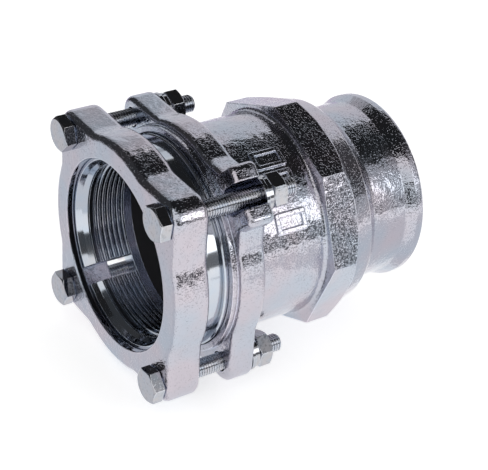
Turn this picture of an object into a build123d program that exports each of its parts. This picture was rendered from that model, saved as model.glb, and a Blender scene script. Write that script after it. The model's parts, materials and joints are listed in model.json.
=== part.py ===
from build123d import *
from math import cos, pi, radians, sin, sqrt, tan
import os

# A compression coupling for 3 inch steel pipe. A plain pipe end enters from the left through the
# follower flange, a split toothed ring grips it and a rubber ring seals it. The right-hand end is
# a threaded socket. X runs along the pipe from the follower's front face to the threaded end and
# Z is up. All sizes are in millimetres.

os.makedirs("parts", exist_ok=True)

# Pipe
pipe_diameter = 88.9
pipe_guide_clearance = 0.75
pipe_guide_length = 16.0

# Bolts, which stand at the corners of a square
bolt_diameter = 9.8
bolt_overhang = 8.3
bolt_point = 0.9
hexagon_width = 17.0
hexagon_corner_cut = 0.9
hexagon_cut_angle = 30.0
head_height = 6.6
nut_height = 8.4
nut_running_gap = 0.05
washer_face_inset = 0.6
washer_face_height = 0.5
bolt_hole_clearance = 0.7

# Washers behind the body flange
washer_bore_clearance = 0.4
washer_overhang = 1.3
washer_thickness = 2.0
spring_washer_overhang = 0.55
spring_washer_thickness = 2.8
spring_washer_gap = 1.2
spring_washer_slant = 20.0

# Outline that both flanges share: a disc with four bolt lugs
flange_step = 3.5
bolt_circle_rise = 4.09
lug_radius = 11.0
flange_edge_round = 3.0
flange_valley_round = 12.0

# Follower flange
follower_thickness = 20.0
follower_edge_round = 4.0
follower_lip_length = 4.0
follower_lip_clearance = 1.8
lip_edge_chamfer = 0.4
cone_angle = 8.0
cone_clearance = 0.3

# Grip ring: outside it fits the follower's cone, inside it carries the teeth
grip_front_gap = 0.5
grip_length = 27.5
grip_cone_length = 20.6
grip_back_wall = 7.1
grip_nose_wall = 2.3
grip_opening = 1.55
grip_lead_length = 5.9
grip_lead_break = 3.2
grip_lead_break_rise = 1.7
grip_land_rise = 0.5
grip_groove_width = 0.6
grip_land_length = 2.5
tooth_count = 6
tooth_pitch = 2.93
tooth_depth = 1.6
tooth_crest_width = 0.5
tooth_front_slope = 0.7
tooth_back_slope = 0.8
grip_slot_width = 10.0
grip_slot_angle = -45.0

# Pressure ring and rubber seal
pressure_ring_thickness = 5.0
pressure_ring_bore_rise = 2.1
pressure_ring_clearance = 0.4
pressure_ring_chamfer = 0.7
seal_length = 15.2
seal_bore_rise = 0.9
seal_clearance = 0.3

# Body: mouth and bolting flange
mouth_clearance = 3.0
mouth_setback = 2.3
collar_wall = 3.3
collar_length = 3.2
body_flange_thickness = 15.0
pocket_straight_length = 5.6
pocket_floor_width = 1.55
pocket_lip_length = 4.0
body_bore_rise = 2.6

# Body: open bolt lugs, one on each side
open_slot_clearance = 2.1
ear_width = 9.0
ear_reach = 11.5
ear_tip_round = 3.6
ear_root_round = 9.0

# Body: barrel, spanner octagon and rear shoulder
barrel_inset = 1.7
barrel_length = 42.5
barrel_wall = 6.5
barrel_root_round = 2.4
octagon_rise = 3.5
octagon_length = 17.8
octagon_bevel_rise = 0.5
octagon_bevel_length = 4.3
shoulder_inset = 0.1
shoulder_fall = 2.4
shoulder_length = 10.5
shoulder_bevel_fall = 3.0
shoulder_bevel_length = 4.2
shoulder_edge_round = 1.5

# Body: threaded socket, which is cut for the same size of pipe
thread_inset = 0.51
thread_length = 31.0
thread_mouth_chamfer = 2.0
throat_step = 2.94
throat_length = 6.0

# Body: neck and flared rim round the thread
neck_wall = 5.06
neck_slope = 3.5
neck_root_round = 2.5
neck_length = 21.5
flare_length = 5.9
flare_rise = 2.9
rim_length = 4.7
rim_edge_round = 1.6

# Raised blank marking frames cast on the barrel, given by their angles round it
frame_length = 18.0
frame_width = 11.0
frame_stroke = 2.4
frame_height = 0.9
frame_round = 1.2
frame_setback = 22.5
frame_angles = (115.5, 129.0, 151.0)

# How far joined or cut shapes run into or past each other, and what counts as the same place
overlap = 1.0
same_place = 0.01

# Each bolt by its corner of the square: the corner's angle round the pipe, and how far the bolt's
# head and its nut are turned
bolt_angles = {
    "upper_far": (45.0, 13.0, 21.5),
    "upper_near": (135.0, 39.0, 16.5),
    "lower_near": (-135.0, 47.0, 41.0),
    "lower_far": (-45.0, 59.0, 7.0),
}
open_lug_angles = (135.0, -45.0)

# Radii, worked outwards from the pipe
pipe_radius = pipe_diameter / 2
guide_radius = pipe_radius + pipe_guide_clearance
tooth_crest_radius = pipe_radius + grip_opening
tooth_root_radius = tooth_crest_radius + tooth_depth
grip_land_radius = tooth_crest_radius + grip_land_rise
grip_back_radius = tooth_root_radius + grip_back_wall
grip_nose_radius = grip_back_radius - grip_cone_length * tan(radians(cone_angle))
grip_lead_radius = grip_nose_radius - grip_nose_wall
follower_opening_radius = grip_lead_radius + follower_lip_clearance
mouth_radius = grip_back_radius + mouth_clearance
pressure_ring_radius = mouth_radius - pressure_ring_clearance
pressure_ring_bore_radius = pipe_radius + pressure_ring_bore_rise
seal_bore_radius = tooth_crest_radius + seal_bore_rise
body_bore_radius = pipe_radius + body_bore_rise
pocket_floor_radius = body_bore_radius + pocket_floor_width
collar_radius = mouth_radius + collar_wall
flange_disc_radius = collar_radius + flange_step
bolt_circle_radius = flange_disc_radius + bolt_circle_rise
half_square = bolt_circle_radius / sqrt(2)
lug_side = half_square + lug_radius
barrel_radius = mouth_radius - barrel_inset
chamber_radius = barrel_radius - barrel_wall
octagon_radius = barrel_radius + octagon_rise
octagon_bevel_radius = octagon_radius + octagon_bevel_rise
shoulder_radius = octagon_radius - shoulder_inset
shoulder_back_radius = shoulder_radius - shoulder_fall
shoulder_bevel_radius = shoulder_back_radius - shoulder_bevel_fall
thread_radius = pipe_radius - thread_inset
throat_radius = thread_radius - throat_step
neck_radius = thread_radius + neck_wall
rim_radius = neck_radius + flare_rise

# Sizes worked out from the bolts
bolt_radius = bolt_diameter / 2
bolt_hole_radius = bolt_radius + bolt_hole_clearance
open_slot_radius = bolt_radius + open_slot_clearance
open_lug_width = 2 * (open_slot_radius + ear_width)
washer_bore_radius = bolt_radius + washer_bore_clearance
washer_radius = hexagon_width / 2 + washer_overhang
spring_washer_radius = hexagon_width / 2 + spring_washer_overhang
washer_face_radius = hexagon_width / 2 - washer_face_inset
hexagon_corner_radius = hexagon_width / 2 / cos(pi / 6)
hexagon_crown_radius = hexagon_corner_radius - hexagon_corner_cut / tan(radians(hexagon_cut_angle))

# Stations along the pipe
grip_front = follower_lip_length + grip_front_gap
grip_back = grip_front + grip_length
pressure_ring_back = grip_back + pressure_ring_thickness
seal_back = pressure_ring_back + seal_length
pocket_floor = seal_back + seal_clearance
pocket_lip_end = pocket_floor + pocket_lip_length
mouth_front = grip_back + mouth_setback
pocket_cone_start = mouth_front + pocket_straight_length
flange_front = mouth_front + collar_length
flange_middle = flange_front + body_flange_thickness / 2
flange_back = flange_front + body_flange_thickness
octagon_front = flange_back + barrel_length
octagon_back = octagon_front + octagon_length
shoulder_back = octagon_back + shoulder_length
shoulder_bevel_back = shoulder_back + shoulder_bevel_length
neck_front = shoulder_bevel_back + neck_slope
neck_back = neck_front + neck_length
rim_front = neck_back + flare_length
body_end = rim_front + rim_length
thread_front = body_end - thread_length
pipe_stop = thread_front - throat_length
guide_front = pipe_stop - pipe_guide_length
washer_back = flange_back + washer_thickness
nut_front = washer_back + spring_washer_thickness
nut_back = nut_front + nut_height
bolt_end = nut_back + bolt_overhang


def turned_plane(y=0.0, z=0.0):
    """The plane of a turned outline: X along the piece's own axis and Y outwards from it."""
    return Plane(origin=(0, y, z), x_dir=(1, 0, 0), z_dir=(0, -1, 0))


def cross_plane(x, y=0.0, z=0.0):
    """A plane across the pipe: its X is the part's Y and its Y is the part's Z."""
    return Plane(origin=(x, y, z), x_dir=(0, 1, 0), z_dir=(1, 0, 0))


def long_axis(y=0.0, z=0.0):
    """An axis along the pipe through the given place."""
    return Axis((0, y, z), (1, 0, 0))


def soften(outline, x, radius, amount):
    """Rounds the corner of a turned outline that lies at the given place."""
    corner = outline.vertices().sort_by_distance((x, radius, 0))[0]
    fillet(corner, amount)


def side_corners(outline):
    """The corners of a flange outline on the four straight sides of its lugs, by their distance
    from the middle of the side."""
    return {
        corner: min(abs(corner.X), abs(corner.Y)) for corner in outline.vertices()
        if abs(max(abs(corner.X), abs(corner.Y)) - lug_side) < same_place
    }


def add_lugged_disc(outline):
    """Draws the disc with four bolt lugs that both flanges share, its valleys rounded."""
    Circle(flange_disc_radius)
    RectangleRounded(2 * lug_side, 2 * lug_side, lug_radius)
    corners = side_corners(outline)
    fillet([corner for corner in corners if corners[corner] < half_square - lug_radius], flange_valley_round)


def add_open_lugs(outline):
    """Draws the long ears of the open lugs and rounds their roots."""
    ear_length = half_square
    for angle in open_lug_angles:
        with Locations(Location((0, 0, 0), (0, 0, angle))):
            with Locations((bolt_circle_radius + ear_reach - ear_length / 2, 0)):
                RectangleRounded(ear_length, open_lug_width, ear_tip_round)
    corners = side_corners(outline)
    fillet([corner for corner in corners if corners[corner] > half_square - lug_radius
            and corner.X * corner.Y < 0], ear_root_round)


def cut_hexagon_corners(face, inward, y, z):
    """Turns the corners of a hexagon down to a cone at one end face. Inward is 1 or -1: the way
    into the hexagon along X."""
    beyond_corner = hexagon_corner_radius + overlap / tan(radians(hexagon_cut_angle))
    with BuildSketch(turned_plane(y, z)) as corner_cut:
        with BuildLine():
            Polyline(
                (face, hexagon_crown_radius),
                (face, beyond_corner),
                (face + inward * (hexagon_corner_cut + overlap), beyond_corner),
                close=True,
            )
        make_face()
    revolve(corner_cut.sketch, axis=long_axis(y, z), mode=Mode.SUBTRACT)


# Follower flange, with a lipped front and a coned seat for the grip ring
with BuildPart() as follower_flange:
    with BuildSketch(cross_plane(0)) as outline:
        add_lugged_disc(outline)
    extrude(amount=follower_thickness)
    outline_edges = follower_flange.edges().filter_by(Plane.YZ)
    fillet(outline_edges, follower_edge_round)
    cone_front = grip_nose_radius + cone_clearance - grip_front_gap * tan(radians(cone_angle))
    cone_back = cone_front + (follower_thickness - follower_lip_length) * tan(radians(cone_angle))
    with BuildSketch(turned_plane()):
        with BuildLine():
            Polyline(
                (0, 0),
                (0, follower_opening_radius + lip_edge_chamfer),
                (lip_edge_chamfer, follower_opening_radius),
                (follower_lip_length, follower_opening_radius),
                (follower_lip_length, cone_front),
                (follower_thickness, cone_back),
                (follower_thickness, 0),
                close=True,
            )
        make_face()
    revolve(axis=long_axis(), mode=Mode.SUBTRACT)
    with BuildSketch(cross_plane(0)):
        with GridLocations(2 * half_square, 2 * half_square, 2, 2):
            Circle(bolt_hole_radius)
    extrude(amount=follower_thickness, mode=Mode.SUBTRACT)
follower_flange.part.label = "follower_flange"
export_step(follower_flange.part, "parts/follower_flange.step")

# Grip ring, split so that the cone can close it round the pipe
with BuildPart() as grip_ring:
    nose_end = grip_front + grip_cone_length
    lead_end = grip_front + grip_lead_length
    land_start = lead_end + grip_groove_width
    land_end = land_start + grip_land_length
    first_crest = land_end + tooth_pitch - tooth_crest_width / 2
    bore_line = [
        (grip_front, grip_nose_radius),
        (grip_front, grip_lead_radius),
        (grip_front + grip_lead_break, grip_land_radius + grip_lead_break_rise),
        (lead_end, grip_land_radius),
        (lead_end, tooth_root_radius),
        (land_start, tooth_root_radius),
        (land_start, grip_land_radius),
        (land_end, grip_land_radius),
        (land_end + tooth_back_slope, tooth_root_radius),
    ]
    for tooth in range(tooth_count):
        crest = first_crest + tooth * tooth_pitch
        bore_line += [
            (crest - tooth_crest_width / 2 - tooth_front_slope, tooth_root_radius),
            (crest - tooth_crest_width / 2, tooth_crest_radius),
            (crest + tooth_crest_width / 2, tooth_crest_radius),
            (crest + tooth_crest_width / 2 + tooth_back_slope, tooth_root_radius),
        ]
    bore_line += [
        (grip_back, tooth_root_radius),
        (grip_back, grip_back_radius),
        (nose_end, grip_back_radius),
    ]
    with BuildSketch(turned_plane()):
        with BuildLine():
            Polyline(*bore_line, close=True)
        make_face()
    revolve(axis=long_axis())
    with BuildSketch(cross_plane(grip_front)):
        with Locations(Location((0, 0, 0), (0, 0, grip_slot_angle))):
            with Locations((grip_back_radius, 0)):
                Rectangle(grip_back_radius, grip_slot_width)
    extrude(amount=grip_length, mode=Mode.SUBTRACT)
grip_ring.part.label = "grip_ring"
export_step(grip_ring.part, "parts/grip_ring.step")

# Pressure ring, which passes the follower's push on to the seal
with BuildPart() as pressure_ring:
    with BuildSketch(turned_plane()):
        with BuildLine():
            Polyline(
                (grip_back, pressure_ring_bore_radius),
                (grip_back, pressure_ring_radius - pressure_ring_chamfer),
                (grip_back + pressure_ring_chamfer, pressure_ring_radius),
                (pressure_ring_back, pressure_ring_radius),
                (pressure_ring_back, pressure_ring_bore_radius),
                close=True,
            )
        make_face()
    revolve(axis=long_axis())
pressure_ring.part.label = "pressure_ring"
export_step(pressure_ring.part, "parts/pressure_ring.step")

# Rubber seal, coned on its outside like the pocket that it is pressed into
with BuildPart() as seal:
    pocket_slope = (mouth_radius - pocket_floor_radius) / (pocket_floor - pocket_cone_start)
    pocket_slant = sqrt(1 + pocket_slope ** 2)
    seal_outside = mouth_radius - seal_clearance
    seal_cone_start = pocket_cone_start - seal_clearance * (pocket_slant - 1) / pocket_slope
    seal_back_radius = seal_outside - (seal_back - seal_cone_start) * pocket_slope
    with BuildSketch(turned_plane()):
        with BuildLine():
            Polyline(
                (pressure_ring_back, seal_bore_radius),
                (pressure_ring_back, seal_outside),
                (seal_cone_start, seal_outside),
                (seal_back, seal_back_radius),
                (seal_back, seal_bore_radius),
                close=True,
            )
        make_face()
    revolve(axis=long_axis())
seal.part.label = "seal"
export_step(seal.part, "parts/seal.step")

# Body: one casting with mouth, bolting flange, barrel, octagon and threaded socket
with BuildPart() as body:
    outside_line = [
        (mouth_front, mouth_radius),
        (mouth_front, collar_radius),
        (flange_back, collar_radius),
        (flange_back, barrel_radius),
        (octagon_back, barrel_radius),
        (octagon_back, shoulder_radius),
        (shoulder_back, shoulder_back_radius),
        (shoulder_bevel_back, shoulder_bevel_radius),
        (neck_front, neck_radius),
        (neck_back, neck_radius),
        (rim_front, rim_radius),
        (body_end, rim_radius),
    ]
    inside_line = [
        (body_end, thread_radius + thread_mouth_chamfer),
        (body_end - thread_mouth_chamfer, thread_radius),
        (thread_front, thread_radius),
        (thread_front, throat_radius),
        (pipe_stop, throat_radius),
        (pipe_stop, guide_radius),
        (guide_front, guide_radius),
        (guide_front - (chamber_radius - guide_radius), chamber_radius),
        (pocket_lip_end + chamber_radius - body_bore_radius, chamber_radius),
        (pocket_lip_end, body_bore_radius),
        (pocket_floor, body_bore_radius),
        (pocket_floor, pocket_floor_radius),
        (pocket_cone_start, mouth_radius),
    ]
    with BuildSketch(turned_plane()) as outline:
        with BuildLine():
            Polyline(*outside_line, *inside_line, close=True)
        make_face()
        soften(outline, shoulder_back, shoulder_back_radius, shoulder_edge_round)
        soften(outline, shoulder_bevel_back, shoulder_bevel_radius, shoulder_edge_round)
        soften(outline, neck_front, neck_radius, neck_root_round)
        soften(outline, rim_front, rim_radius, rim_edge_round / 2)
        soften(outline, body_end, rim_radius, rim_edge_round)
    revolve(axis=long_axis())

    # Bolting flange with its four lugs, two of them open outwards
    with BuildSketch(cross_plane(flange_front)) as outline:
        add_lugged_disc(outline)
        add_open_lugs(outline)
        Circle(collar_radius - overlap, mode=Mode.SUBTRACT)
    extrude(amount=body_flange_thickness)
    outline_edges = [
        edge for face in body.faces().filter_by(Axis.X) for edge in face.outer_wire().edges()
        if abs(face.center().X - flange_middle) < body_flange_thickness / 2 + same_place
        and face.bounding_box().size.Y > 2 * flange_disc_radius - same_place
    ]
    fillet(outline_edges, flange_edge_round)
    with BuildSketch(cross_plane(flange_front)):
        for angle in open_lug_angles:
            with Locations(Location((0, 0, 0), (0, 0, angle))):
                with Locations((bolt_circle_radius + half_square / 2, 0)):
                    Rectangle(half_square, 2 * open_slot_radius)
                with Locations((bolt_circle_radius, 0)):
                    Circle(open_slot_radius)
        with Locations((half_square, half_square), (-half_square, -half_square)):
            Circle(bolt_hole_radius)
    extrude(amount=body_flange_thickness, mode=Mode.SUBTRACT)

    # Spanner octagon, its rear corners turned down to a cone
    with BuildSketch(cross_plane(octagon_front)):
        RegularPolygon(octagon_radius, 8, major_radius=False)
        Circle(barrel_radius - overlap, mode=Mode.SUBTRACT)
    extrude(amount=octagon_length)
    corner_radius = octagon_radius / cos(pi / 8)
    bevel_slope = (corner_radius - octagon_bevel_radius) / octagon_bevel_length
    with BuildSketch(turned_plane()):
        with BuildLine():
            Polyline(
                (octagon_back - octagon_bevel_length - overlap, corner_radius + overlap * bevel_slope),
                (octagon_back, octagon_bevel_radius),
                (octagon_back, corner_radius + overlap * bevel_slope),
                close=True,
            )
        make_face()
    revolve(axis=long_axis(), mode=Mode.SUBTRACT)
    root_edges = [
        edge for edge in body.edges().filter_by(GeomType.CIRCLE)
        if abs(edge.radius - barrel_radius) < same_place
        and min(abs(edge.center().X - flange_back), abs(edge.center().X - octagon_front)) < same_place
    ]
    fillet(root_edges, barrel_root_round)

    # Blank marking frames, raised from the barrel
    for angle in frame_angles:
        outwards = Vector(0, cos(radians(angle)), sin(radians(angle)))
        centre = outwards * (barrel_radius - overlap) + Vector(flange_back + frame_setback, 0, 0)
        with BuildSketch(Plane(origin=centre, x_dir=(1, 0, 0), z_dir=outwards)):
            RectangleRounded(frame_length, frame_width, frame_round)
            inside_length = frame_length - 2 * frame_stroke
            Rectangle(inside_length, frame_width - 2 * frame_stroke, mode=Mode.SUBTRACT)
        extrude(amount=frame_height + overlap)
body.part.label = "body"
export_step(body.part, "parts/body.step")

# Bolts, washers and nuts, one set at each corner of the square
for place, (corner_angle, head_turn, nut_turn) in bolt_angles.items():
    y = bolt_circle_radius * cos(radians(corner_angle))
    z = bolt_circle_radius * sin(radians(corner_angle))

    with BuildPart() as bolt:
        with BuildSketch(cross_plane(-head_height, y, z)):
            RegularPolygon(hexagon_width / 2, 6, major_radius=False, rotation=head_turn)
        extrude(amount=head_height - washer_face_height)
        cut_hexagon_corners(-head_height, 1, y, z)
        with BuildSketch(cross_plane(-washer_face_height, y, z)):
            Circle(washer_face_radius)
        extrude(amount=washer_face_height)
        with BuildSketch(turned_plane(y, z)):
            with BuildLine():
                Polyline(
                    (-overlap, 0),
                    (-overlap, bolt_radius),
                    (bolt_end - bolt_point, bolt_radius),
                    (bolt_end, bolt_radius - bolt_point),
                    (bolt_end, 0),
                    close=True,
                )
            make_face()
        revolve(axis=long_axis(y, z))
    bolt.part.label = "bolt_" + place
    export_step(bolt.part, "parts/bolt_" + place + ".step")

    with BuildPart() as flat_washer:
        with BuildSketch(cross_plane(flange_back, y, z)):
            Circle(washer_radius)
            Circle(washer_bore_radius, mode=Mode.SUBTRACT)
        extrude(amount=washer_thickness)
    flat_washer.part.label = "flat_washer_" + place
    export_step(flat_washer.part, "parts/flat_washer_" + place + ".step")

    with BuildPart() as spring_washer:
        with BuildSketch(cross_plane(washer_back, y, z)):
            Circle(spring_washer_radius)
            Circle(washer_bore_radius, mode=Mode.SUBTRACT)
        extrude(amount=spring_washer_thickness)
        cut_middle = (washer_back + spring_washer_thickness / 2, y, z + spring_washer_radius / 2)
        with Locations(Location(cut_middle, (0, 0, spring_washer_slant))):
            Box(2 * spring_washer_radius, spring_washer_gap, spring_washer_radius, mode=Mode.SUBTRACT)
    spring_washer.part.label = "spring_washer_" + place
    export_step(spring_washer.part, "parts/spring_washer_" + place + ".step")

    with BuildPart() as nut:
        with BuildSketch(cross_plane(nut_front + washer_face_height, y, z)):
            RegularPolygon(hexagon_width / 2, 6, major_radius=False, rotation=nut_turn)
        extrude(amount=nut_height - washer_face_height)
        cut_hexagon_corners(nut_front + washer_face_height, 1, y, z)
        cut_hexagon_corners(nut_back, -1, y, z)
        with BuildSketch(cross_plane(nut_front, y, z)):
            Circle(washer_face_radius)
        extrude(amount=washer_face_height)
        with BuildSketch(cross_plane(nut_front, y, z)):
            Circle(bolt_radius + nut_running_gap)
        extrude(amount=nut_height, mode=Mode.SUBTRACT)
    nut.part.label = "nut_" + place
    export_step(nut.part, "parts/nut_" + place + ".step")
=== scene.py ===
import bpy
import json
from math import cos, degrees, pi, radians, sin, sqrt, tan
from mathutils import Matrix, Vector


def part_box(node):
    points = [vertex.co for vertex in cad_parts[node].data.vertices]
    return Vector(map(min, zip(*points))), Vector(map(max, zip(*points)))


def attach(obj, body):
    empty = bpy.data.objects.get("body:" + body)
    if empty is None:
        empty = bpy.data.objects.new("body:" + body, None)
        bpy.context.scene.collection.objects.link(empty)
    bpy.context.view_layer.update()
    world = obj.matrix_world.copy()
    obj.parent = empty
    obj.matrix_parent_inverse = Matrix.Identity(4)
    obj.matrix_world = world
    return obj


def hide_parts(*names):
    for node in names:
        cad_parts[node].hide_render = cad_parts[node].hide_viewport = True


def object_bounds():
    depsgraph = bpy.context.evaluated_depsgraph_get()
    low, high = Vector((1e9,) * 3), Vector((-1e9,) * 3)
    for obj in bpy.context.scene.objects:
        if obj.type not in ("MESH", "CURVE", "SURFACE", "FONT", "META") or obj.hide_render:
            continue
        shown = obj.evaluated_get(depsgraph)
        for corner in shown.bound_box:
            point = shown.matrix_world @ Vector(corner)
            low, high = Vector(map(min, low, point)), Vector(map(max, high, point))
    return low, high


# Zinc-plated pipe coupling. X runs along the pipe from the follower flange to the threaded end
# and Z is up. Lengths are in millimetres until a mesh is made.

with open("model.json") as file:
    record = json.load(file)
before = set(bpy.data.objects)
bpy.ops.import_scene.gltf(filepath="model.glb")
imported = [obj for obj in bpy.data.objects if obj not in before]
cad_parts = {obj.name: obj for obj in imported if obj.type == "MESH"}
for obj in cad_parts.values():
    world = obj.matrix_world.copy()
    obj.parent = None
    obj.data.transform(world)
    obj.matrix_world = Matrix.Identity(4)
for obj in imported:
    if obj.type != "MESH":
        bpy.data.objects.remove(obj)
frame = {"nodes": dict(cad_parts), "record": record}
cad_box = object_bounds()
nodes = frame["nodes"]
scene = bpy.context.scene
mm = 0.001
mm_per_metre = 1000.0

bolt_names = ("upper_far", "upper_near", "lower_near", "lower_far")

# Bolt heads
hexagon_width = 17.0
hexagon_corner_cut = 0.9
corner_cut_angle = 30.0
head_face_share = 0.92
washer_face_radius = 7.9
washer_face_height = 0.5
hexagon_steps = 96

# Bolt threads. The ends of crest and root are places along one pitch, from 0 to 1.
bolt_radius = 4.9
bolt_point = 0.9
bolt_thread_pitch = 1.5
bolt_thread_depth = 0.78
bolt_crest_end = 0.125
bolt_root_start = 0.44
bolt_root_end = 0.69
bolt_thread_steps = 36

# Pipe thread inside the socket, the same on both sides of the middle of a pitch
socket_radius = 43.94
socket_length = 31.0
socket_mouth = 2.0
socket_thread_pitch = 2.309
socket_thread_depth = 1.45
socket_root_end = 0.14
socket_crest_start = 0.43
socket_thread_steps = 120


# Meshes

def make_piece(name, points, faces, body, material, smooth_angle=32.0):
    """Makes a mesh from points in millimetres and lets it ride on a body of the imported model."""
    mesh = bpy.data.meshes.new(name)
    mesh.from_pydata([Vector(point) * mm for point in points], [], faces)
    mesh.validate()
    mesh.shade_smooth()
    mesh.set_sharp_from_angle(angle=radians(smooth_angle))
    mesh.materials.append(material)
    piece = bpy.data.objects.new(name, mesh)
    scene.collection.objects.link(piece)
    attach(piece, body)
    return piece


def skin(rings):
    """Joins rings of points, each with the same number of them, into a closed skin of faces."""
    count = len(rings[0])
    points = [point for ring in rings for point in ring]
    faces = [tuple(reversed(range(count)))]
    for row in range(len(rings) - 1):
        for step in range(count):
            ahead = (step + 1) % count
            faces.append((row * count + step, row * count + ahead,
                          (row + 1) * count + ahead, (row + 1) * count + step))
    faces.append(tuple(range(len(points) - count, len(points))))
    return points, faces


def join(*shapes):
    """The points and faces of several shapes as those of one."""
    points = []
    faces = []
    for shape_points, shape_faces in shapes:
        first = len(points)
        points += shape_points
        faces += [tuple(first + corner for corner in face) for face in shape_faces]
    return points, faces


def thread(start, end, pitch, profile, steps, shape_radius):
    """A right-hand thread round the X axis between two stations. The profile lists the places
    along one pitch, from 0 to 1, each with its radius. shape_radius takes a station and the
    thread's radius there, and gives the radius that a chamfer leaves of it."""
    spare_turns = 3
    turns = int((end - start) / pitch) + spare_turns
    rows = [(turn + place, radius) for turn in range(-1, turns) for place, radius in profile]
    points = []
    for place, radius in rows:
        for step in range(steps):
            x = start + (place + step / steps) * pitch
            x = min(max(x, start), end)
            angle = 2 * pi * step / steps
            reach = shape_radius(x, radius)
            points.append((x, reach * cos(angle), reach * sin(angle)))

    def corner(row, step):
        """The point at a row and step. After a whole turn it is one pitch of rows further on."""
        if step < steps:
            return row * steps + step
        return (row + len(profile)) * steps

    faces = []
    for row in range(len(rows) - len(profile) - 1):
        for step in range(steps):
            faces.append((corner(row, step), corner(row, step + 1),
                          corner(row + 1, step + 1), corner(row + 1, step)))
    return points, faces


# Bolts, round the X axis until they are put in their places

def node_middle(name):
    """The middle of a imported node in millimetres."""
    low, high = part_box(name)
    return (low + high) / 2 / mm


def corner_angle(name, middle):
    """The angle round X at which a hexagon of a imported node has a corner."""
    away = [vertex.co / mm - middle for vertex in nodes[name].data.vertices]
    corner = max(away, key=lambda point: point.y ** 2 + point.z ** 2)
    return degrees(Vector((corner.y, corner.z)).angle_signed(Vector((1, 0)), 0))


def bolt_head(head_front, turn):
    """A hexagon head and its washer face, which ends at station 0. One corner is at the angle
    turn. The corners are cut down in front, from the crown outwards."""
    crown = hexagon_width / sqrt(3) - hexagon_corner_cut * sqrt(3)

    def ring(radius_of, x_of):
        """A ring of points. radius_of takes how far the hexagon's side is from the axis at a
        point, and x_of takes the radius that it gives."""
        points = []
        for step in range(hexagon_steps):
            around = 360 * step / hexagon_steps
            side = hexagon_width / 2 / cos(radians(around % 60 - 30))
            radius = radius_of(side)
            points.append((x_of(radius), radius * cos(radians(turn + around)),
                           radius * sin(radians(turn + around))))
        return points

    def corner_cut(radius):
        """The station of the cut at a radius."""
        return head_front + max(0.0, radius - crown) * tan(radians(corner_cut_angle))

    return skin([
        ring(lambda side: crown * head_face_share, lambda radius: head_front),
        ring(lambda side: crown, lambda radius: head_front),
        ring(lambda side: (crown + side) / 2, corner_cut),
        ring(lambda side: side, corner_cut),
        ring(lambda side: side, lambda radius: -washer_face_height),
        ring(lambda side: washer_face_radius, lambda radius: -washer_face_height),
        ring(lambda side: washer_face_radius, lambda radius: 0.0),
        ring(lambda side: bolt_radius - bolt_thread_depth, lambda radius: 0.0),
    ])


def bolt_shank(bolt_end):
    """A full thread from station 0 to the bolt's end, with a pointed tip."""
    root = bolt_radius - bolt_thread_depth
    profile = [(0.0, bolt_radius), (bolt_crest_end, bolt_radius),
               (bolt_root_start, root), (bolt_root_end, root)]
    return thread(0.0, bolt_end, bolt_thread_pitch, profile, bolt_thread_steps,
                  lambda x, radius: min(radius, bolt_radius - bolt_point + bolt_end - x))


def bolt_tip(bolt_end):
    """The flat face at the end of a bolt."""
    tip_radius = bolt_radius - bolt_point
    points = []
    for step in range(bolt_thread_steps):
        angle = 2 * pi * step / bolt_thread_steps
        points.append((bolt_end, tip_radius * cos(angle), tip_radius * sin(angle)))
    return points, [tuple(range(bolt_thread_steps))]


def build_bolt(place, material):
    """A hexagon bolt with its thread, in the place of its plain solid."""
    node = "bolt_" + place
    low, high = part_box(node)
    middle = node_middle("nut_" + place)
    points, faces = join(bolt_head(low.x / mm, corner_angle(node, middle)),
                         bolt_shank(high.x / mm), bolt_tip(high.x / mm))
    points = [(x, y + middle.y, z + middle.z) for x, y, z in points]
    bolt = make_piece("threaded_" + node, points, faces, "follower", material)
    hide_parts(node)


def build_socket_thread(material):
    """The pipe thread on the wall of the socket."""
    body_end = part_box("body")[1].x / mm
    mouth = body_end - socket_mouth
    crest = socket_radius - socket_thread_depth
    profile = [(0.0, socket_radius), (socket_root_end, socket_radius), (socket_crest_start, crest),
               (1 - socket_crest_start, crest), (1 - socket_root_end, socket_radius)]
    points, faces = thread(body_end - socket_length, mouth, socket_thread_pitch, profile,
                           socket_thread_steps, lambda x, radius: max(radius, socket_radius + x - mouth))
    faces = [tuple(reversed(face)) for face in faces]
    make_piece("socket_thread", points, faces, "coupling_body", material)


# Shader nodes

def connect(tree, value, socket):
    """Feeds a socket from another node's output, or sets it to a plain value."""
    if isinstance(value, bpy.types.NodeSocket):
        tree.links.new(value, socket)
    else:
        socket.default_value = value


def add_node(tree, kind, settings=None, **inputs):
    """Adds a shader node. Settings are its own properties. Inputs are its sockets by name, with
    underscores for spaces, each given a value or another node's output."""
    node = tree.nodes.new("ShaderNode" + kind)
    for key, value in (settings or {}).items():
        setattr(node, key, value)
    for key, value in inputs.items():
        connect(tree, value, node.inputs[key.replace("_", " ")])
    return node


def compute(tree, operation, *values):
    """The result of a calculation with one or more values."""
    node = add_node(tree, "Math", {"operation": operation})
    for value, socket in zip(values, node.inputs):
        connect(tree, value, socket)
    return node.outputs["Value"]


def compute_vector(tree, operation, *vectors, **inputs):
    """The results of a calculation with one or two vectors."""
    node = add_node(tree, "VectorMath", {"operation": operation}, **inputs)
    for vector, socket in zip(vectors, node.inputs):
        connect(tree, vector, socket)
    return node.outputs


def remap(tree, value, span, low=0.0, high=1.0, interpolation="LINEAR"):
    """A value between low and high, by how far another value has come along its span."""
    node = add_node(tree, "MapRange", {"interpolation_type": interpolation}, Value=value,
                    From_Min=span[0], From_Max=span[1], To_Min=low, To_Max=high)
    return node.outputs["Result"]


def mix_colours(tree, share, first, second):
    """The first colour with a share of the second."""
    node = add_node(tree, "Mix", {"data_type": "RGBA"})
    sockets = {socket.identifier: socket for socket in [*node.inputs, *node.outputs]}
    connect(tree, share, sockets["Factor_Float"])
    connect(tree, first, sockets["A_Color"])
    connect(tree, second, sockets["B_Color"])
    return sockets["Result_Color"]


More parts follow.
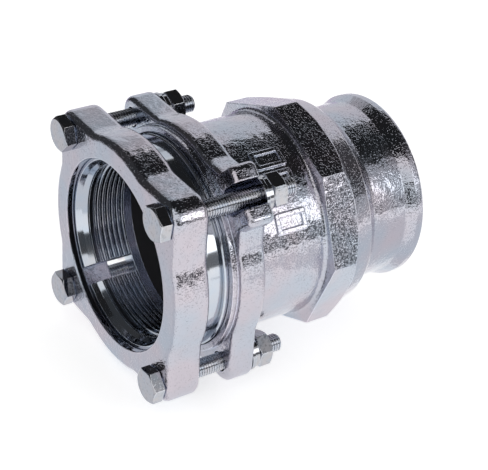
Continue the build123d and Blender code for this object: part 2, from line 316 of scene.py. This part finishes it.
def object_place(tree):
    """Where a point is on the object, in metres in the part's own frame."""
    return add_node(tree, "TexCoord").outputs["Object"]


def cloudy(tree, place, size, detail=1.0):
    """A soft random value with lumps of a size in millimetres."""
    scale = compute(tree, "DIVIDE", mm_per_metre, size)
    return add_node(tree, "TexNoise", Vector=place, Scale=scale, Detail=detail).outputs["Fac"]


def raise_by(tree, height, depth, normal, invert=False):
    """A normal bent by a height between 0 and 1. Its depth is in millimetres."""
    node = add_node(tree, "Bump", {"invert": invert}, Height=height,
                    Distance=compute(tree, "MULTIPLY", depth, mm), Strength=1.0, Normal=normal)
    return node.outputs["Normal"]


# Shared effects, each a group of shader nodes. A span is where an effect begins and where it is
# full, in the values of the noise or measure that it comes from.
bevel_samples = 6
hidden_samples = 8
edge_span = (0.995, 0.9)
grain_span = (0.28, 0.54)
hollow_span = (0.5, 0.0)
pit_span = (0.38, 0.28)
painted_shade_span = (0.7, 0.15)
cloud_span = (0.35, 0.65)
fine_detail = 2.0


def new_group(name, inputs, outputs):
    """A group of shader nodes with named sockets: inputs as (name, kind, value)."""
    group = bpy.data.node_groups.new(name, "ShaderNodeTree")
    for socket_name, kind, value in inputs:
        socket = group.interface.new_socket(socket_name, in_out="INPUT", socket_type="NodeSocket" + kind)
        socket.default_value = value
    for socket_name, kind in outputs:
        group.interface.new_socket(socket_name, in_out="OUTPUT", socket_type="NodeSocket" + kind)
    given = group.nodes.new("NodeGroupInput")
    result = group.nodes.new("NodeGroupOutput")
    return group, given.outputs, result.inputs


def soft_edge_group():
    """Edges that are rubbed round. It also tells where they are."""
    group, given, result = new_group(
        "soft_edge", [("Edge Radius", "Float", 0.0005)], [("Normal", "Vector"), ("Edge", "Float")])
    rounded = add_node(group, "Bevel", {"samples": bevel_samples}, Radius=given["Edge Radius"])
    surface = add_node(group, "NewGeometry")
    likeness = compute_vector(group, "DOT_PRODUCT", rounded.outputs["Normal"], surface.outputs["Normal"])
    connect(group, rounded.outputs["Normal"], result["Normal"])
    connect(group, remap(group, likeness["Value"], edge_span), result["Edge"])
    return group


def cast_skin_group():
    """The sandy skin of a plated casting: fine grain and scattered pits with a slow swell under
    them. It also tells where the low places are."""
    group, given, result = new_group(
        "cast_skin",
        [("Normal", "Vector", (0, 0, 0)), ("Grain Size", "Float", 1.0), ("Grain Depth", "Float", 0.1),
         ("Swell Size", "Float", 6.0), ("Swell Depth", "Float", 0.1), ("Pit Size", "Float", 1.5),
         ("Pit Depth", "Float", 0.0)],
        [("Normal", "Vector"), ("Low Places", "Float")])
    place = object_place(group)
    swell = cloudy(group, place, given["Swell Size"])
    grain = remap(group, cloudy(group, place, given["Grain Size"]), grain_span,
                  interpolation="SMOOTHSTEP")
    pits = remap(group, cloudy(group, place, given["Pit Size"]), pit_span, interpolation="SMOOTHSTEP")
    swelled = raise_by(group, swell, given["Swell Depth"], given["Normal"])
    grained = raise_by(group, grain, given["Grain Depth"], swelled)
    pitted = raise_by(group, pits, given["Pit Depth"], grained, invert=True)
    low_places = compute(group, "MAXIMUM", remap(group, grain, hollow_span), pits)
    connect(group, pitted, result["Normal"])
    connect(group, low_places, result["Low Places"])
    return group


def painted_shade_and_edges_group():
    """Zinc that is duller in the low places of its skin, with painted shade in dark blue deep in
    crevices and between the parts, and rubbed bright along its edges with a painted highlight there."""
    group, given, result = new_group(
        "painted_shade_and_edges",
        [("Color", "Color", (0.5, 0.5, 0.5, 1)), ("Low Places", "Float", 0.0),
         ("Low Darkness", "Float", 0.3), ("Crevice Depth", "Float", 0.01),
         ("Crevice Amount", "Float", 0.5), ("Crevice Color", "Color", (0.2, 0.2, 0.2, 1)),
         ("Edge", "Float", 0.0), ("Edge Brightness", "Float", 0.3)],
        [("Color", "Color")])
    # Painted shade: ambient occlusion turns the base colour towards the dark shade colour where the
    # surface is hidden in crevices and between parts.
    hidden = add_node(group, "AmbientOcclusion", {"samples": hidden_samples},
                      Distance=given["Crevice Depth"])
    painted_shade_share = remap(group, hidden.outputs["AO"], painted_shade_span, high=given["Crevice Amount"])
    painted_shade = mix_colours(group, painted_shade_share, given["Color"], given["Crevice Color"])
    low_brightness = compute(group, "SUBTRACT", 1.0, given["Low Darkness"])
    brightness = remap(group, given["Low Places"], (0.0, 1.0), low=1.0, high=low_brightness)
    # Rubbed wear with a painted highlight: the base colour is brightened along the edges, where they
    # would catch the light.
    worn_and_highlit = compute(group, "MULTIPLY_ADD", given["Edge"], given["Edge Brightness"], brightness)
    shaded = compute_vector(group, "SCALE", painted_shade, Scale=worn_and_highlit)
    connect(group, shaded["Vector"], result["Color"])
    return group


def turned_bore_group():
    """1 where a casting is turned smooth inside: between two stations and within a radius."""
    group, given, result = new_group(
        "turned_bore",
        [("Front", "Float", 0.0), ("Back", "Float", 0.02), ("Radius", "Float", 0.05)],
        [("Mask", "Float")])
    place = add_node(group, "SeparateXYZ", Vector=object_place(group)).outputs
    across = add_node(group, "CombineXYZ", Y=place["Y"], Z=place["Z"])
    radius = compute_vector(group, "LENGTH", across.outputs["Vector"])["Value"]
    behind_front = compute(group, "GREATER_THAN", place["X"], given["Front"])
    before_back = compute(group, "LESS_THAN", place["X"], given["Back"])
    inside = compute(group, "LESS_THAN", radius, given["Radius"])
    between = compute(group, "MULTIPLY", behind_front, before_back)
    connect(group, compute(group, "MULTIPLY", between, inside), result["Mask"])
    return group


def zinc_tint_group():
    """The faint lilac, pink and blue clouds of bright zinc plate."""
    group, given, result = new_group(
        "zinc_tint",
        [("Base", "Color", (0.7, 0.7, 0.7, 1)), ("Warm", "Color", (0.7, 0.7, 0.7, 1)),
         ("Cool", "Color", (0.7, 0.7, 0.7, 1)), ("Cloud Size", "Float", 20.0), ("Amount", "Float", 0.5)],
        [("Color", "Color")])
    cloud = cloudy(group, object_place(group), given["Cloud Size"], fine_detail)
    warm_cool = mix_colours(group, remap(group, cloud, cloud_span), given["Cool"], given["Warm"])
    tinted = mix_colours(group, given["Amount"], given["Base"], warm_cool)
    connect(group, tinted, result["Color"])
    return group


def turned_lines_group():
    """Fine rings that a lathe tool leaves, along the X axis."""
    group, given, result = new_group(
        "turned_lines",
        [("Normal", "Vector", (0, 0, 0)), ("Line Spacing", "Float", 0.4), ("Line Depth", "Float", 0.01)],
        [("Normal", "Vector")])
    place = add_node(group, "SeparateXYZ", Vector=object_place(group)).outputs
    along = add_node(group, "CombineXYZ", X=place["X"]).outputs["Vector"]
    lines = cloudy(group, along, given["Line Spacing"], fine_detail)
    lined = raise_by(group, lines, given["Line Depth"], given["Normal"])
    connect(group, lined, result["Normal"])
    return group


soft_edge = soft_edge_group()
cast_skin = cast_skin_group()
painted_shade_and_edges = painted_shade_and_edges_group()
turned_bore = turned_bore_group()
zinc_tint = zinc_tint_group()
turned_lines = turned_lines_group()


# Materials. Lengths with mm beside them are in metres, and all other sizes and depths are in
# millimetres.

def new_material(name):
    """A node material, its node tree and its Principled shader."""
    material = bpy.data.materials.new(name)
    material.use_nodes = True
    tree = material.node_tree
    return material, tree, tree.nodes["Principled BSDF"]


def place_effect(tree, group, **values):
    """Places a shared effect in a material with its own values or another node's outputs."""
    effect = tree.nodes.new("ShaderNodeGroup")
    effect.node_tree = group
    for key, value in values.items():
        connect(tree, value, effect.inputs[key.replace("_", " ")])
    return effect.outputs


def finish_metal(tree, shader, colour, normal, roughness):
    """Makes a shader a bare metal with a varying colour and normal."""
    connect(tree, colour, shader.inputs["Base Color"])
    connect(tree, normal, shader.inputs["Normal"])
    shader.inputs["Metallic"].default_value = 1.0
    shader.inputs["Roughness"].default_value = roughness


def make_cast_zinc():
    """Zinc-plated casting with a sandy skin. The follower's opening is turned smooth inside."""
    material, tree, shader = new_material("cast_zinc")
    bore = place_effect(tree, turned_bore, Front=0.4 * mm, Back=19.5 * mm, Radius=57.5 * mm)

    def depth(cast, turned):
        """A depth on the cast skin and on the turned wall."""
        return remap(tree, bore["Mask"], (0.0, 1.0), cast, turned)

    edge = place_effect(tree, soft_edge, Edge_Radius=1.0 * mm)
    surface = place_effect(tree, cast_skin, Normal=edge["Normal"],
                           Grain_Size=0.95, Grain_Depth=depth(cast=0.05, turned=0.002),
                           Swell_Size=5.0, Swell_Depth=depth(cast=0.3, turned=0.01),
                           Pit_Size=1.2, Pit_Depth=depth(cast=0.075, turned=0.0))
    tint = place_effect(tree, zinc_tint, Base=(0.53, 0.525, 0.575, 1), Warm=(0.575, 0.515, 0.565, 1),
                        Cool=(0.46, 0.53, 0.615, 1), Cloud_Size=26.0, Amount=0.65)
    # Painted shade: the casting's base colour turns dark blue where it is hidden in crevices and between
    # the flanges. It brightens along its edges as rubbed wear with a painted highlight.
    shade = place_effect(tree, painted_shade_and_edges, Color=tint["Color"],
                         Low_Places=surface["Low Places"], Low_Darkness=0.08,
                         Crevice_Depth=6 * mm, Crevice_Amount=0.5, Crevice_Color=(0.20, 0.30, 0.44, 1),
                         Edge=edge["Edge"], Edge_Brightness=0.5)
    finish_metal(tree, shader, shade["Color"], surface["Normal"], roughness=0.05)
    return material


def make_turned_zinc():
    """Zinc plate over turned steel, for the grip ring and the pressure ring."""
    material, tree, shader = new_material("turned_zinc")
    edge = place_effect(tree, soft_edge, Edge_Radius=0.4 * mm)
    surface = place_effect(tree, turned_lines, Normal=edge["Normal"], Line_Spacing=0.5, Line_Depth=0.001)
    tint = place_effect(tree, zinc_tint, Base=(0.57, 0.61, 0.66, 1), Warm=(0.61, 0.60, 0.63, 1),
                        Cool=(0.49, 0.58, 0.70, 1), Cloud_Size=14.0, Amount=0.5)
    # Painted shade: the rings turn almost black where the flanges and the bore hide them. They brighten
    # along their edges as rubbed wear with a painted highlight.
    shade = place_effect(tree, painted_shade_and_edges, Color=tint["Color"],
                         Crevice_Depth=9 * mm, Crevice_Amount=0.85, Crevice_Color=(0.06, 0.08, 0.11, 1),
                         Edge=edge["Edge"], Edge_Brightness=0.5)
    finish_metal(tree, shader, shade["Color"], surface["Normal"], roughness=0.1)
    return material


def make_bolt_zinc():
    """Bright zinc plate over forged steel, for the bolts, nuts and washers."""
    material, tree, shader = new_material("bolt_zinc")
    edge = place_effect(tree, soft_edge, Edge_Radius=0.45 * mm)
    surface = place_effect(tree, cast_skin, Normal=edge["Normal"], Grain_Size=1.6, Grain_Depth=0.006,
                           Swell_Size=4.0, Swell_Depth=0.03)
    tint = place_effect(tree, zinc_tint, Base=(0.50, 0.51, 0.54, 1), Warm=(0.54, 0.50, 0.50, 1),
                        Cool=(0.44, 0.50, 0.58, 1), Cloud_Size=6.0, Amount=0.4)
    # Painted shade: the threads, nuts and washers turn dark blue where they are hidden. Their edges
    # brighten as rubbed wear with a painted highlight.
    shade = place_effect(tree, painted_shade_and_edges, Color=tint["Color"],
                         Low_Places=surface["Low Places"], Low_Darkness=0.15,
                         Crevice_Depth=3 * mm, Crevice_Amount=0.5, Crevice_Color=(0.20, 0.26, 0.35, 1),
                         Edge=edge["Edge"], Edge_Brightness=0.6)
    finish_metal(tree, shader, shade["Color"], surface["Normal"], roughness=0.08)
    return material


def make_seal_rubber():
    """Matt moulded rubber."""
    material, tree, shader = new_material("seal_rubber")
    edge = place_effect(tree, soft_edge, Edge_Radius=0.4 * mm)
    surface = place_effect(tree, cast_skin, Normal=edge["Normal"], Grain_Size=0.5, Grain_Depth=0.02,
                           Swell_Size=3.0, Swell_Depth=0.03)
    connect(tree, surface["Normal"], shader.inputs["Normal"])
    shader.inputs["Base Color"].default_value = (0.02, 0.02, 0.022, 1)
    shader.inputs["Roughness"].default_value = 0.5
    return material


materials = {
    "cast_zinc": make_cast_zinc(),
    "turned_zinc": make_turned_zinc(),
    "bolt_zinc": make_bolt_zinc(),
    "seal_rubber": make_seal_rubber(),
}
for subpart in frame["record"]["subparts"]:
    mesh = nodes[subpart["node"]].data
    mesh.materials.clear()
    mesh.materials.append(materials[subpart["material_slot"]])

for place in bolt_names:
    build_bolt(place, materials["bolt_zinc"])
build_socket_thread(materials["cast_zinc"])


# Studio: a pale floor and white surround, one soft box, and cards that only reflections see.
# Its lengths are in metres.
object_middle = Vector((0.08, 0.0, 0.0))
floor_half = 1.3
floor_gap = 0.0002
card_gap = 0.0001
floor_height = cad_box[0].z - floor_gap
floor_card_height = floor_height + card_gap
floor_colour = (0.80, 0.80, 0.80, 1)
floor_glow = 0.58
world_light = 0.7
card_colour = (0.95, 0.96, 1.0)
lilac = (0.88, 0.79, 1.0)


def seen_directly(tree):
    """1 for the rays that see the background: from the camera, a reflection or through glass."""
    rays = tree.nodes.new("ShaderNodeLightPath").outputs
    camera_or_glossy = compute(tree, "MAXIMUM", rays["Is Camera Ray"], rays["Is Glossy Ray"])
    return compute(tree, "MAXIMUM", camera_or_glossy, rays["Is Transmission Ray"])


def make_floor_material():
    """Pale and dull. Its glow is for the rays that see it directly, and its shadow stays."""
    material, tree, shader = new_material("floor")
    shader.inputs["Base Color"].default_value = floor_colour
    shader.inputs["Roughness"].default_value = 0.9
    shader.inputs["Specular IOR Level"].default_value = 0.0
    shader.inputs["Emission Color"].default_value = (1, 1, 1, 1)
    glow = compute(tree, "MULTIPLY", seen_directly(tree), floor_glow)
    connect(tree, glow, shader.inputs["Emission Strength"])
    return material


def make_card_material(name, colour, strength):
    """A plain material that gives off light of its own."""
    material = bpy.data.materials.new(name)
    material.use_nodes = True
    tree = material.node_tree
    tree.nodes.clear()
    glow = add_node(tree, "Emission", Color=(*colour, 1), Strength=strength)
    output = tree.nodes.new("ShaderNodeOutputMaterial")
    connect(tree, glow.outputs["Emission"], output.inputs["Surface"])
    return material


def make_world():
    """White to the rays that see it directly, and a little dimmer as a light."""
    world = bpy.data.worlds.new("studio")
    scene.world = world
    world.use_nodes = True
    tree = world.node_tree
    background = tree.nodes["Background"]
    background.inputs["Color"].default_value = (1, 1, 1, 1)
    strength = remap(tree, seen_directly(tree), (0.0, 1.0), world_light, 1.0)
    connect(tree, strength, background.inputs["Strength"])


def add_flat(name, corners, material):
    """A flat face that belongs to the stage and not to the object."""
    mesh = bpy.data.meshes.new(name)
    mesh.from_pydata(corners, [], [tuple(range(len(corners)))])
    mesh.materials.append(material)
    flat = bpy.data.objects.new(name, mesh)
    scene.collection.objects.link(flat)
    return flat


def rectangle(low, high, height):
    """The corners of a level rectangle between two places, each x and y."""
    return [(low[0], low[1], height), (high[0], low[1], height),
            (high[0], high[1], height), (low[0], high[1], height)]


def add_card(name, corners, brightness, colour=card_colour):
    """A flat card that shows only in the object's reflections."""
    card = add_flat(name, corners, make_card_material(name, colour, brightness))
    card.visible_camera = False
    card.visible_diffuse = False
    card.visible_transmission = False
    card.visible_shadow = False


def add_floor_card(name, low, high, brightness, colour=card_colour):
    """A card that lies on the floor between two places."""
    add_card(name, rectangle(low, high, floor_card_height), brightness, colour)


def add_ceiling_card(name, middle, radius, height, brightness, sides=36):
    """A round card over the object."""
    corners = []
    for side in range(sides):
        angle = 2 * pi * side / sides
        corners.append((middle[0] + radius * cos(angle), middle[1] + radius * sin(angle), height))
    add_card(name, corners, brightness)


def add_wall(name, direction, distance, spread, low, high, brightness):
    """A standing card. Its direction and half its spread are angles in degrees as seen from the
    object: 0 is along +X and 90 along +Y. It reaches from one height to another."""
    angle = radians(direction)
    corners = []
    for side, height in ((-1, low), (1, low), (1, high), (-1, high)):
        along = distance * tan(radians(spread)) * side
        corners.append((object_middle.x + distance * cos(angle) - along * sin(angle),
                        object_middle.y + distance * sin(angle) + along * cos(angle), height))
    add_card(name, corners, brightness)


def add_lamp(name, place, size, power):
    """A square soft box that faces the object."""
    lamp_data = bpy.data.lights.new(name, "AREA")
    lamp_data.shape = "SQUARE"
    lamp_data.size = size
    lamp_data.energy = power
    lamp = bpy.data.objects.new(name, lamp_data)
    lamp.location = place
    lamp.rotation_euler = (object_middle - Vector(place)).to_track_quat("-Z", "Y").to_euler()
    scene.collection.objects.link(lamp)


make_world()
add_flat("floor", rectangle((-floor_half, -floor_half), (floor_half, floor_half), floor_height),
         make_floor_material())

# Dark cards, which give the metal its blacks
add_ceiling_card("ceiling_card", middle=(0.28, -0.02), radius=0.8, height=0.9, brightness=0.02)
add_wall("left_dark_card", direction=143, distance=0.42, spread=46,
         low=floor_height, high=0.75, brightness=0.05)
add_wall("right_dark_card", direction=-12, distance=0.8, spread=22,
         low=0.16, high=1.1, brightness=0.07)
add_wall("near_grey_card", direction=-60, distance=0.95, spread=38,
         low=floor_height, high=0.19, brightness=0.2)
add_wall("front_dark_card", direction=-119, distance=0.95, spread=20,
         low=floor_height, high=0.4, brightness=0.08)

# Pale cards, which tone the white down
add_wall("far_pale_card", direction=55, distance=0.95, spread=42,
         low=floor_height, high=0.9, brightness=0.8)
add_wall("far_high_card", direction=80, distance=0.9, spread=24,
         low=0.45, high=0.95, brightness=0.5)
add_wall("near_right_card", direction=-40, distance=0.9, spread=15,
         low=floor_height, high=1.0, brightness=0.55)
add_wall("near_high_card", direction=-65, distance=0.95, spread=20,
         low=0.62, high=1.1, brightness=0.5)
add_floor_card("front_floor_card", low=(-0.35, -0.06), high=(-0.001, 0.35), brightness=0.84)
add_floor_card("far_floor_card", low=(-0.15, 0.35), high=(1.1, 1.25), brightness=0.68, colour=lilac)
add_floor_card("near_floor_card", low=(0.15, -0.30), high=(0.40, -0.04), brightness=0.85)

add_lamp("soft_box", place=(0.47, -0.78, 0.37), size=0.38, power=0.65)


# Camera at the photograph's angle
camera_azimuth = radians(-35.417)
camera_elevation = radians(32.657)
camera_roll = radians(4.493)
camera_place = Vector((-303.906, -541.980, 415.055)) * mm
camera_lens = 107.042

forward = Vector((-sin(camera_azimuth) * cos(camera_elevation),
                  cos(camera_azimuth) * cos(camera_elevation), -sin(camera_elevation)))
level = Vector((cos(camera_azimuth), sin(camera_azimuth), 0))
upright = level.cross(forward)
right = level * cos(camera_roll) + upright * sin(camera_roll)
up = upright * cos(camera_roll) - level * sin(camera_roll)
camera_data = bpy.data.cameras.new("camera")
camera_data.sensor_width = 36.0
camera_data.lens = camera_lens
camera_data.clip_start = 0.02
camera = bpy.data.objects.new("camera", camera_data)
turn = Matrix((right, up, -forward)).transposed().to_4x4()
camera.matrix_world = Matrix.Translation(camera_place) @ turn
scene.collection.objects.link(camera)
scene.camera = camera

scene.view_settings.view_transform = "Standard"

bpy.context.view_layer.update()
